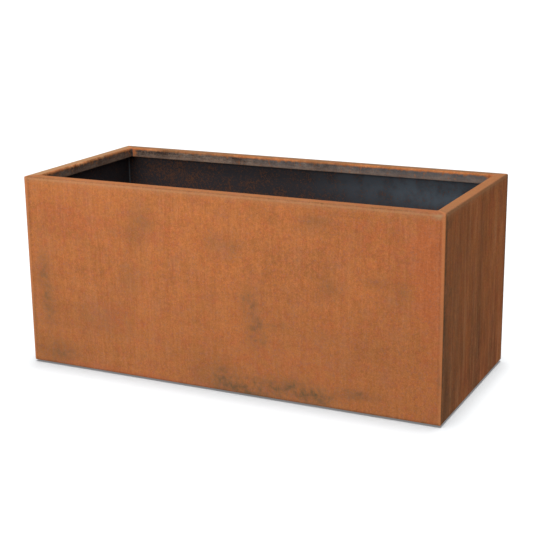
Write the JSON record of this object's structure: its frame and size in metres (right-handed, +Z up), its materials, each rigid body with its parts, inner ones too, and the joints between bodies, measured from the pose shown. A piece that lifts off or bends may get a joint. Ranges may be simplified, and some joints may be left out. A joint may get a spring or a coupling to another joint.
{
  "type": "planter box",
  "caption": "Rectangular trough planter in rust-coloured weathering steel, with an inward-folded rim and lip, a drained base tray on hat-section ribs, and push-in glides.",
  "frame": {"origin": "on the ground, under the middle of the box's footprint", "axes": "+X along the trough's length, +Y from its front face to its back face, +Z up"},
  "size_m": [0.9, 0.4, 0.4],
  "materials": {
    "weathered_sheet": "matte",
    "ground_weld": "matte",
    "mill_scale_sheet": "matte",
    "weld_bead": "satin",
    "black_nylon": "satin"
  },
  "bodies": {
    "root": {"front_panel": "weathered_sheet", "back_panel": "weathered_sheet", "left_end_panel": "weathered_sheet", "right_end_panel": "weathered_sheet", "corner_weld_front_left": "ground_weld", "corner_weld_front_right": "ground_weld", "corner_weld_back_left": "ground_weld", "corner_weld_back_right": "ground_weld", "rim_weld_front_left": "ground_weld", "rim_weld_front_right": "ground_weld", "rim_weld_back_left": "ground_weld", "rim_weld_back_right": "ground_weld", "base_tray": "mill_scale_sheet", "base_stitch_welds": "weld_bead", "base_rib_left": "mill_scale_sheet", "base_rib_middle": "mill_scale_sheet", "base_rib_right": "mill_scale_sheet", "rib_stitch_welds": "weld_bead", "glide_front_left": "black_nylon", "glide_front_middle": "black_nylon", "glide_front_right": "black_nylon", "glide_back_left": "black_nylon", "glide_back_middle": "black_nylon", "glide_back_right": "black_nylon"}
  },
  "joints": []
}
